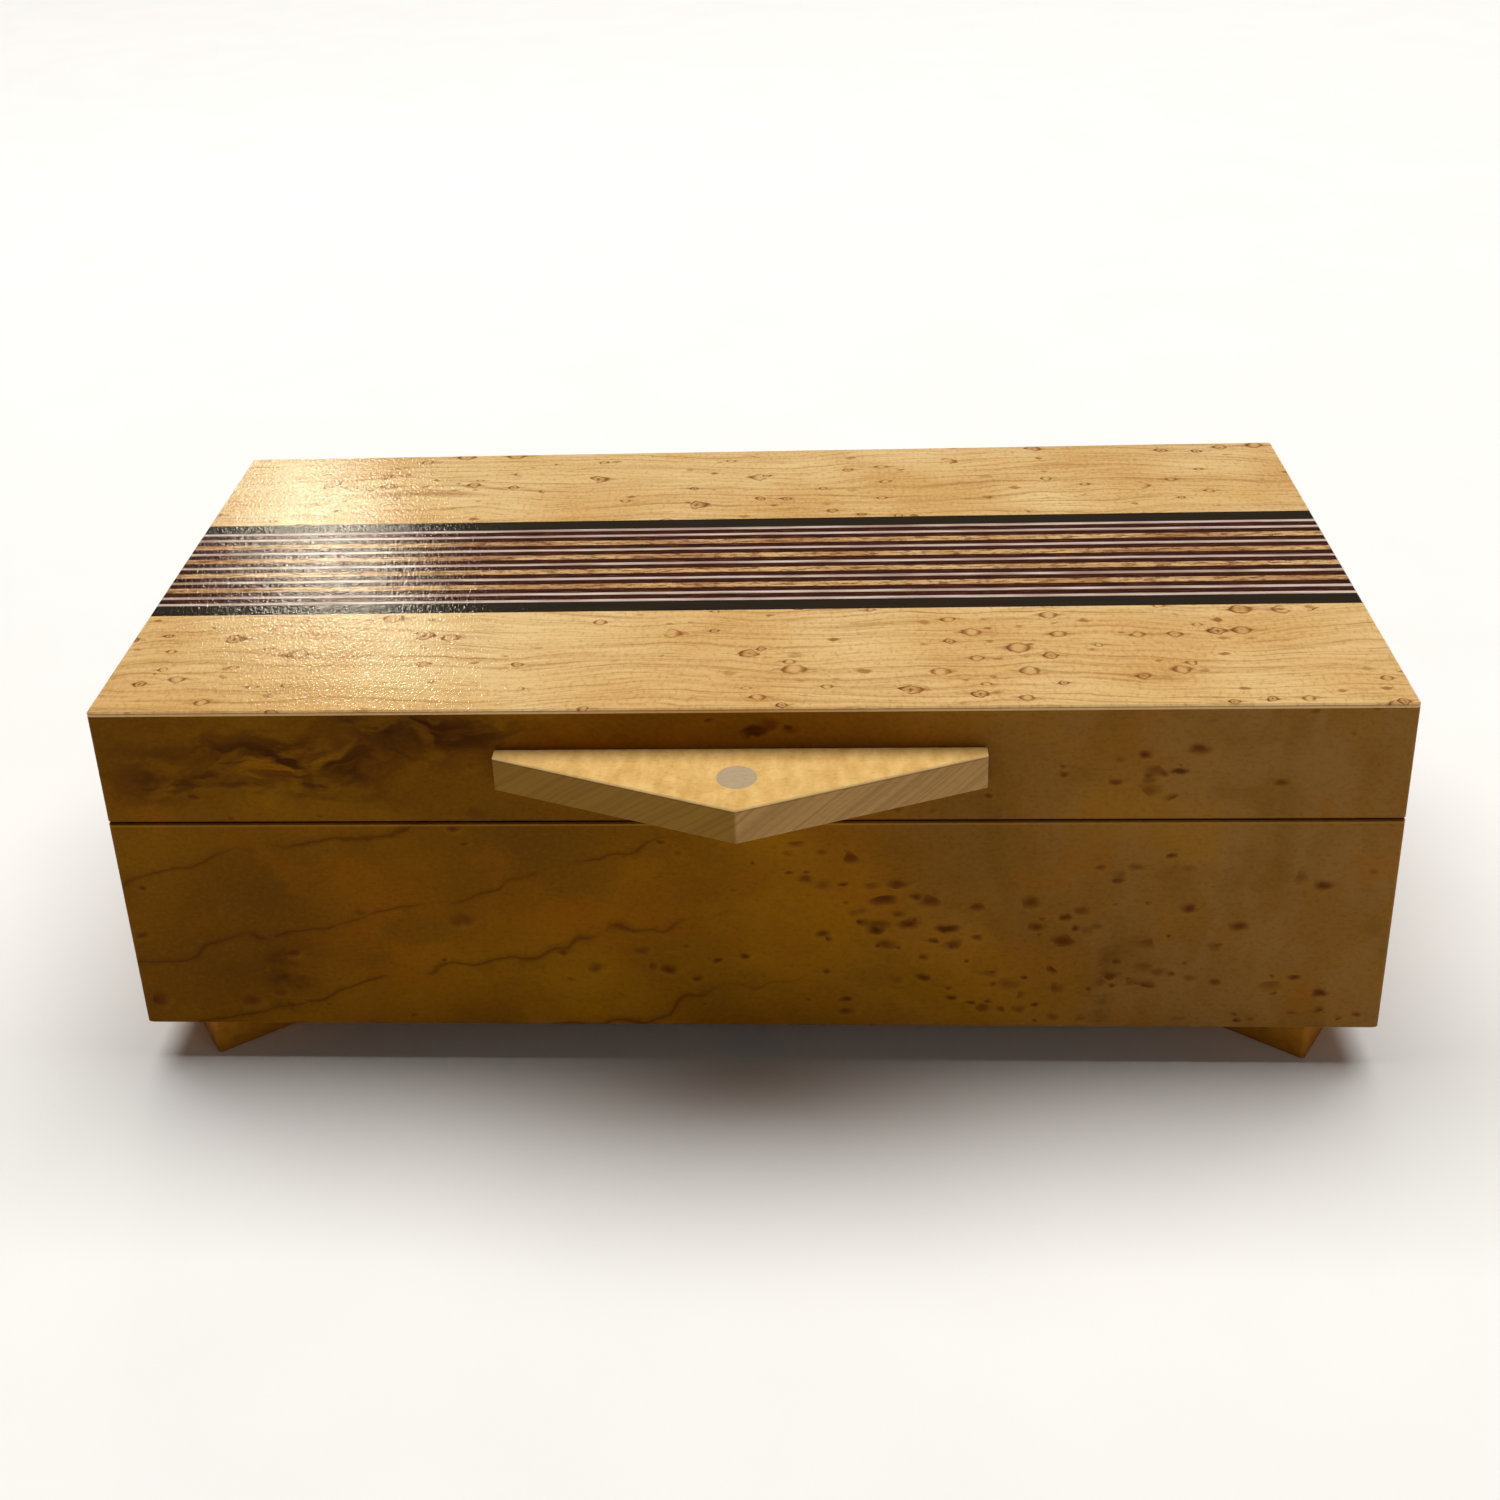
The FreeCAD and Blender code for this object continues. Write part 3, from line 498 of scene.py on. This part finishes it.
def foot_wood():
    """The feet's plain brown wood, with painted shade along their top, where they meet the box."""
    g = Graph("foot_wood")
    fibres = g.join(g.times(g.x, 0.06), g.times(g.y, 0.5), g.times(g.z, 0.5))
    lines = g.noise(fibres, 1.0, detail=4.0, roughness=0.6)
    colour = g.mix(g.step(lines, 0.42, 0.68, 0.0, 0.40), FOOT, FOOT_LINE)
    # Painted shade under the box's bottom edge, across the top of each foot.
    colour = g.mix(g.bell(g.minus(g.z, FOOT_TOP), 0.35), colour, PAINTED_SEAM_SHADE)
    return g.finish(colour, roughness=0.5, Specular_IOR_Level=0.05)


HANDLE_DARK = srgb(212, 168, 96)
HANDLE = srgb(222, 180, 108)
HANDLE_PALE = srgb(232, 192, 122)
HANDLE_LINE = srgb(160, 108, 44)
# Painted shade for the pull's two sides, the left one darker.
HANDLE_SHADED_LEFT = srgb(149, 108, 26)
HANDLE_SHADED_RIGHT = srgb(186, 144, 86)
HANDLE_SIDE_LINE = srgb(112, 70, 20)


def handle_maple():
    """Solid maple of the pull: a silky cross figure on top, painted shade down its sides, deepest on the
    left, and slanting darker grain down its edges.
    """
    g = Graph("handle_maple")
    sway = g.swing(g.place, 1 / 18, 1.6, detail=2.0)
    slant = g.add(g.times(g.x, -0.75), g.times(g.y, 0.2), g.z, sway)
    rings = g.noise(g.join(0.0, g.times(slant, 0.34), 2.0), 1.0, detail=1.5, roughness=0.5)
    silk = g.join(g.times(g.x, 0.30), g.times(g.y, 0.14), 0.0)
    figure = g.noise(silk, 1.0, detail=3.0, roughness=0.6)
    fibres = g.join(g.times(g.x, 0.5), g.times(g.y, 1.2), g.times(g.z, 1.2))
    pores = g.noise(fibres, 1.0, detail=3.0, roughness=0.65)
    colour = g.ramp(figure, (0.34, HANDLE_DARK), (0.50, HANDLE), (0.66, HANDLE_PALE))
    # Down from the top face, in mm, come a painted highlight along the edge and the sides' painted shade,
    # darker on the left than on the right. A thin dark line crosses them near their top.
    below = g.minus(PULL_TOP, g.z)
    side = g.step(below, 0.42, 0.62)
    left = g.step(g.x, 0.6, -0.6)
    # Painted shade down the sides, darker on the left side.
    colour = g.mix(side, colour, g.mix(left, HANDLE_SHADED_RIGHT, HANDLE_SHADED_LEFT))
    colour = g.mix(g.times(g.step(rings, 0.50, 0.64), 0.10), colour, HANDLE_LINE)
    colour = g.mix(g.times(side, g.bell(g.minus(rings, 0.52), 0.030), 0.34), colour, HANDLE_SIDE_LINE)
    colour = g.mix(g.step(pores, 0.50, 0.74, 0.0, 0.35), colour, HANDLE_LINE)
    # A painted highlight along the top's eased edge.
    colour = g.mix(g.times(g.bell(g.minus(below, 0.28), 0.16), 0.6), colour, EDGE_HIGHLIGHT)
    colour = g.mix(g.times(g.bell(g.minus(below, 0.70), 0.14), 0.55), colour, EDGE_DARK_LINE)
    normal = g.bump(pores, depth_mm=0.02, strength=0.4)
    return g.finish(colour, roughness=0.42, normal=normal, Specular_IOR_Level=0.12)


BLACK_STRIP = srgb(34, 26, 17)
BLACK_FIBRE = srgb(50, 41, 28)
LIGHT_STRIP = srgb(210, 190, 178)
LIGHT_PALE = srgb(236, 222, 214)
LIGHT_FIBRE = srgb(150, 116, 98)
LIGHT_DULL = srgb(146, 108, 90)
LIGHT_STAIN = srgb(74, 44, 32)
DARK_STRIP = srgb(26, 8, 5)
DARK_RED = srgb(72, 30, 16)
DARK_FIBRE = srgb(144, 86, 50)
TAN_STRIP = srgb(214, 174, 118)
TAN_DARK = srgb(172, 124, 74)
TAN_PALE = srgb(238, 206, 152)
TAN_BLUSH = srgb(140, 78, 42)
TAN_FLECK = srgb(88, 42, 20)
DOT = srgb(178, 155, 123)
DOT_PALE = srgb(185, 164, 134)
DOT_PORE = srgb(152, 130, 100)
LINE_PITCH = 8.6        # mm between the inner light lines
OUTER_LINE = 20.95      # mm from the band's middle to its outermost light lines
STAIN_START = 0.38      # mm from a light line's own middle, where the dark of its edges begins
STAIN_END = 0.78


def black_inlay():
    """The border strips: black with faint fibres."""
    g = Graph("black_inlay")
    fibre = g.noise(g.join(g.times(g.x, 0.04), g.times(g.y, 3.0), 0.0), 1.0, detail=3.0)
    return lacquer(g, g.ramp(fibre, (0.35, BLACK_STRIP), (0.70, BLACK_FIBRE)))


def light_inlay():
    """Pale lines, dull in places, whose two edges are stained dark by the strips beside them."""
    g = Graph("light_inlay")
    strands = g.join(g.times(g.x, 0.06), g.times(g.y, 2.0), 0.0)
    fibre = g.noise(strands, 1.0, detail=4.0, roughness=0.65)
    dull = g.noise(g.join(g.times(g.x, 0.035), g.times(g.y, 0.4), 5.0), 1.0, detail=2.0)
    colour = g.ramp(fibre, (0.34, LIGHT_FIBRE), (0.50, LIGHT_STRIP), (0.68, LIGHT_PALE))
    colour = g.mix(g.step(dull, 0.46, 0.62, 0.0, 0.55), colour, LIGHT_DULL)
    across = g.math("ABSOLUTE", g.minus(g.y, BAND_MIDDLE))
    inner = g.math("PINGPONG", across, LINE_PITCH / 2)
    outer = g.math("ABSOLUTE", g.minus(across, OUTER_LINE))
    off_centre = g.math("MINIMUM", inner, outer)
    stain = g.step(off_centre, STAIN_START, STAIN_END, 0.0, 0.75)
    return lacquer(g, g.mix(stain, colour, LIGHT_STAIN))


def dark_inlay():
    """Wenge-like strips: nearly black brown with reddish fibres."""
    g = Graph("dark_inlay")
    strands = g.join(g.times(g.x, 0.12), g.times(g.y, 2.6), 0.0)
    fibre = g.noise(strands, 1.0, detail=4.0, roughness=0.75)
    return lacquer(g, g.ramp(fibre, (0.40, DARK_STRIP), (0.56, DARK_RED), (0.74, DARK_FIBRE)))


def figured_inlay():
    """The tan strips, broken up by dark flecks that run along them."""
    g = Graph("figured_inlay")
    strands = g.join(g.times(g.x, 0.05), g.times(g.y, 1.2), 0.0)
    fibre = g.noise(strands, 1.0, detail=4.0, roughness=0.65)
    streaks = g.join(g.times(g.x, 0.22), g.times(g.y, 0.9), 8.0)
    flecks = g.noise(streaks, 1.0, detail=4.0, roughness=0.8)
    blush = g.noise(g.join(g.times(g.x, 0.03), g.times(g.y, 0.08), 4.0), 1.0, detail=1.0)
    colour = g.ramp(fibre, (0.35, TAN_DARK), (0.52, TAN_STRIP), (0.70, TAN_PALE))
    colour = g.mix(g.step(blush, 0.45, 0.65, 0.0, 0.45), colour, TAN_BLUSH)
    return lacquer(g, g.mix(g.step(flecks, 0.49, 0.57, 0.0, 0.75), colour, TAN_FLECK))


def dot_inlay():
    """End grain of a pale plug: nearly plain, with tiny pores."""
    g = Graph("dot_inlay")
    pores = g.noise(g.place, 3.0, detail=2.0)
    rings = g.noise(g.vector("MULTIPLY", g.place, (0.4, 1.2, 0.0)), 1.0, detail=2.0)
    colour = g.ramp(rings, (0.35, DOT), (0.65, DOT_PALE))
    colour = g.mix(g.step(pores, 0.55, 0.75, 0.0, 0.2), colour, DOT_PORE)
    normal = g.bump(pores, depth_mm=0.02, strength=0.3)
    return g.finish(colour, roughness=0.35, normal=normal, Specular_IOR_Level=0.4)


# ---- brass and suede -------------------------------------------------------------------------------
HINGE_BRASS = srgb(214, 176, 104)
HINGE_TARNISH = srgb(186, 144, 76)
SCREW_BRASS = srgb(222, 184, 110)
SCREW_TARNISH = srgb(190, 150, 80)
SUEDE_DARK = srgb(84, 56, 38)
SUEDE = srgb(108, 76, 54)
SUEDE_NAP = srgb(138, 104, 78)


def brass(name, light, dark, rough):
    """Brass brushed lengthwise and tarnished in patches. rough is about its mean roughness."""
    g = Graph(name)
    scratches = g.join(g.times(g.x, 0.3), g.times(g.y, 6.0), g.times(g.z, 6.0))
    brushed = g.noise(scratches, 1.0, detail=3.0)
    stain = g.noise(g.place, 1 / 5, detail=3.0)
    colour = g.ramp(stain, (0.35, dark), (0.62, light))
    roughness = g.step(brushed, 0.3, 0.7, rough - 0.06, rough + 0.08)
    normal = g.bump(brushed, depth_mm=0.01, strength=0.5)
    return g.finish(colour, roughness, normal, Metallic=1.0)


def suede():
    """Short-napped cloth: a soft sheen, a fine nap and patches brushed one way or the other."""
    g = Graph("suede")
    nap = g.noise(g.place, 4.0, detail=3.0, roughness=0.7)
    brushed = g.noise(g.place, 1 / 22, detail=3.0, distortion=0.8)
    colour = g.ramp(brushed, (0.40, SUEDE_DARK), (0.60, SUEDE))
    colour = g.mix(g.step(nap, 0.45, 0.75, 0.0, 0.35), colour, SUEDE_NAP)
    normal = g.bump(nap, depth_mm=0.15, strength=0.8)
    return g.finish(colour, roughness=0.95, normal=normal, Specular_IOR_Level=0.2,
                    Sheen_Weight=0.25, Sheen_Roughness=0.5)


# ---- which material each slot gets -----------------------------------------------------------------
CORE_TONES = (srgb(140, 98, 58), srgb(168, 124, 78), srgb(190, 148, 100))
LINER_TONES = (srgb(176, 128, 76), srgb(202, 156, 102), srgb(220, 180, 126))
TAB_TONES = (srgb(70, 38, 8), srgb(92, 54, 12), srgb(112, 70, 22))
MATERIALS = {
    "birdseye_maple": birdseye_maple(),
    "black_inlay": black_inlay(),
    "light_inlay": light_inlay(),
    "dark_inlay": dark_inlay(),
    "figured_inlay": figured_inlay(),
    "handle_maple": handle_maple(),
    "dot_inlay": dot_inlay(),
    "foot_wood": foot_wood(),
    "core_wood": straight_wood("core_wood", *CORE_TONES),
    "liner_wood": straight_wood("liner_wood", *LINER_TONES),
    "hinge_brass": brass("hinge_brass", HINGE_BRASS, HINGE_TARNISH, 0.30),
    "screw_brass": brass("screw_brass", SCREW_BRASS, SCREW_TARNISH, 0.25),
    "tab_wood": straight_wood("tab_wood", *TAB_TONES),
    "suede": suede(),
}
LONG_BURL = burl("burl_long", True)
END_BURL = burl("burl_end", False)
BURL_SIDES = {"front": LONG_BURL, "back": LONG_BURL, "left": END_BURL, "right": END_BURL}
# The boards of the two ends run from front to back, and so does their grain.
CROSSWISE = {
    "core_wood": straight_wood("core_wood_cross", *CORE_TONES, run="Y"),
    "liner_wood": straight_wood("liner_wood_cross", *LINER_TONES, run="Y"),
}


def dress_nodes():
    """Gives each CAD node its material, by its slot in the record."""
    for entry in frame["record"]["subparts"]:
        name, slot = entry["node"], entry["material_slot"]
        if slot == "burl_veneer":
            side = name.split("_")[1]
            material = BURL_SIDES[side]
        elif slot in CROSSWISE and ("left" in name or "right" in name):
            material = CROSSWISE[slot]
        else:
            material = MATERIALS[slot]
        for place in frame["nodes"][name].material_slots:
            place.material = material


# ---- padded linings --------------------------------------------------------------------------------
PAD_CROWN = 0.5 * MM        # the room left for the middle to swell into
CROWN_FILL = 0.75           # how much of that room it takes
PAD_EDGE = 1.2 * MM         # radius of the rounded rim
PAD_THINNEST = 0.2 * MM
PAD_CELL = 2.4 * MM         # size of the mesh's faces
WELT_INSET = 5.0 * MM       # from the rim to the sewn channel
WELT_WIDTH = 0.7 * MM
WELT_DEPTH = 0.35 * MM
UNREST = 0.10 * MM          # height of the cloth's slow waves
WAVES_PER_METRE = 40
END_CROWDING = 0.48         # 0 spaces a side's points evenly; towards 1 they crowd at its two ends


def spread(low, high, count):
    """Points along one side, crowded towards both ends so that the rounded edge is smooth."""
    points = []
    for k in range(count + 1):
        t = k / count
        t -= END_CROWDING * math.sin(2 * math.pi * t) / (2 * math.pi)
        points.append(low + (high - low) * t)
    return points


def pad(name, node, body, face_up):
    """A crowned suede pad in a CAD pad's place, with a sewn channel sunk a little inside its edge."""
    low, high = corners(node)
    size = high - low

    def height(x, y):
        """How high the cloth stands above the board at a point of the pad."""
        inset = min(x - low.x, high.x - x, y - low.y, high.y - y)
        roll = math.sqrt(max(0.0, 1 - max(0.0, 1 - inset / PAD_EDGE) ** 2))
        channel = WELT_DEPTH * math.exp(-((inset - WELT_INSET) / WELT_WIDTH) ** 2)
        u = 2 * (x - low.x) / size.x - 1
        v = 2 * (y - low.y) / size.y - 1
        dome = PAD_CROWN * max(0.0, 1 - u ** 4) * max(0.0, 1 - v ** 4) * CROWN_FILL
        wave = UNREST * noise.noise(Vector((x, y, size.z)) * WAVES_PER_METRE)
        rise = (size.z - PAD_CROWN) * roll + dome - channel + wave * roll
        return max(PAD_THINNEST, rise)

    xs = spread(low.x, high.x, int(size.x / PAD_CELL))
    ys = spread(low.y, high.y, int(size.y / PAD_CELL))
    work = bmesh.new()
    top, flat = [], []
    for y in ys:
        top_row, flat_row = [], []
        for x in xs:
            h = height(x, y)
            z_top = low.z + h if face_up else high.z - h
            z_flat = low.z if face_up else high.z
            top_row.append(work.verts.new((x, y, z_top)))
            flat_row.append(work.verts.new((x, y, z_flat)))
        top.append(top_row)
        flat.append(flat_row)
    last_x, last_y = len(xs) - 1, len(ys) - 1
    for j in range(last_y):
        for i in range(last_x):
            work.faces.new((top[j][i], top[j][i + 1], top[j + 1][i + 1], top[j + 1][i]))
            work.faces.new((flat[j][i], flat[j + 1][i], flat[j + 1][i + 1], flat[j][i + 1]))
    for i in range(last_x):
        work.faces.new((flat[0][i], flat[0][i + 1], top[0][i + 1], top[0][i]))
        work.faces.new((top[-1][i], top[-1][i + 1], flat[-1][i + 1], flat[-1][i]))
    for j in range(last_y):
        work.faces.new((top[j][0], top[j + 1][0], flat[j + 1][0], flat[j][0]))
        work.faces.new((flat[j][-1], flat[j + 1][-1], top[j + 1][-1], top[j][-1]))
    bmesh.ops.recalc_face_normals(work, faces=work.faces[:])

    mesh = bpy.data.meshes.new(name)
    work.to_mesh(mesh)
    work.free()
    for face in mesh.polygons:
        face.use_smooth = True
    mesh.materials.append(MATERIALS["suede"])
    piece = bpy.data.objects.new(name, mesh)
    bpy.context.scene.collection.objects.link(piece)
    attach(piece, body)
    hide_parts(node)


# ---- floor, lights and camera ----------------------------------------------------------------------
FLOOR_HALF = 6.0                        # metres
PAPER = (0.92, 0.92, 0.92, 1.0)
PAPER_PALE = (0.94, 0.94, 0.94, 1.0)
BOX_MIDDLE = (0.0, 0.0, 0.08)           # metres, as are the lights' places and sizes
GLARE = (-0.120, 0.025, 0.106)          # the window's glare is aimed at the lid's left part
SKY = (1.0, 0.98, 0.95, 1.0)
SKY_HEIGHTS = (0.02, 0.18)              # upward part of a ray's direction, between which the sky dims
SKY_STRENGTHS = (0.50, 0.05)            # below the first height, and above the second
SENSOR_WIDTH = 36.0
LENS = 44.19
SHIFT_X = 0.0427
SHIFT_Y = -0.20
NEAR_CLIP = 0.01                        # metres
CAMERA_PLACE = (19.46, -436.82, 336.15)     # mm
CAMERA_FORWARD = (-0.06998, 0.91323, -0.40139)
CAMERA_UP = (0.01723, 0.40343, 0.91485)


def floor():
    """A wide sheet of pale paper under the feet."""
    mesh = bpy.data.meshes.new("floor")
    sheet = [(-FLOOR_HALF, -FLOOR_HALF, 0), (FLOOR_HALF, -FLOOR_HALF, 0),
             (FLOOR_HALF, FLOOR_HALF, 0), (-FLOOR_HALF, FLOOR_HALF, 0)]
    mesh.from_pydata(sheet, [], [(0, 1, 2, 3)])
    piece = bpy.data.objects.new("floor", mesh)
    bpy.context.scene.collection.objects.link(piece)
    g = Graph("floor_paper")
    grain = g.noise(g.place, 1 / 60, detail=2.0)
    colour = g.ramp(grain, (0.3, PAPER), (0.7, PAPER_PALE))
    mesh.materials.append(g.finish(colour, roughness=0.9, Specular_IOR_Level=0.0))


def softbox(name, place, target, width, height, power, colour):
    """A soft rectangular light at one place, aimed at another. Its power is in watts."""
    light = bpy.data.lights.new(name, "AREA")
    light.shape = "RECTANGLE"
    light.size = width
    light.size_y = height
    light.energy = power
    light.color = colour
    thing = bpy.data.objects.new(name, light)
    bpy.context.scene.collection.objects.link(thing)
    thing.location = place
    aim = Vector(target) - Vector(place)
    thing.rotation_euler = aim.to_track_quat("-Z", "Y").to_euler()


def lights():
    """A wide soft overhead light, a small one behind for the lid's glare, a weak fill and a dim sky."""
    softbox("overhead", place=(0.0, 1.10, 4.5), target=BOX_MIDDLE, width=6.2, height=2.9,
            power=290.0, colour=(1.0, 0.975, 0.93))
    softbox("window", place=(-0.399, 0.949, 0.566), target=GLARE, width=0.06, height=0.06,
            power=0.34, colour=(1.0, 0.91, 0.72))
    softbox("fill", place=(0.9, -0.75, 0.45), target=BOX_MIDDLE, width=0.5, height=0.5,
            power=0.70, colour=(1.0, 0.95, 0.90))
    world = bpy.data.worlds.new("studio")
    world.use_nodes = True
    tree = world.node_tree
    direction = tree.nodes.new("ShaderNodeTexCoord")
    parts = tree.nodes.new("ShaderNodeSeparateXYZ")
    level = tree.nodes.new("ShaderNodeMapRange")
    level.interpolation_type = "SMOOTHSTEP"
    for socket, value in zip(level.inputs[1:], SKY_HEIGHTS + SKY_STRENGTHS):
        socket.default_value = value
    background = tree.nodes["Background"]
    background.inputs["Color"].default_value = SKY
    tree.links.new(direction.outputs["Generated"], parts.inputs[0])
    tree.links.new(parts.outputs[2], level.inputs[0])
    tree.links.new(level.outputs[0], background.inputs["Strength"])
    bpy.context.scene.world = world


def camera():
    """Looks down on the front from a little right of the middle."""
    data = bpy.data.cameras.new("camera")
    data.sensor_width = SENSOR_WIDTH
    data.lens = LENS
    data.shift_x = SHIFT_X
    data.shift_y = SHIFT_Y
    data.clip_start = NEAR_CLIP
    thing = bpy.data.objects.new("camera", data)
    bpy.context.scene.collection.objects.link(thing)
    forward = Vector(CAMERA_FORWARD).normalized()
    right = forward.cross(Vector(CAMERA_UP)).normalized()
    up = right.cross(forward)
    turn = Matrix((right, up, -forward)).transposed()
    thing.matrix_world = Matrix.Translation(Vector(CAMERA_PLACE) * MM) @ turn.to_4x4()
    bpy.context.scene.camera = thing


bpy.context.scene.view_settings.view_transform = "Standard"
dress_nodes()
pad("floor_cushion", "floor_pad", "base", face_up=True)
pad("lid_cushion", "lid_pad", "lid", face_up=False)
floor()
lights()
camera()
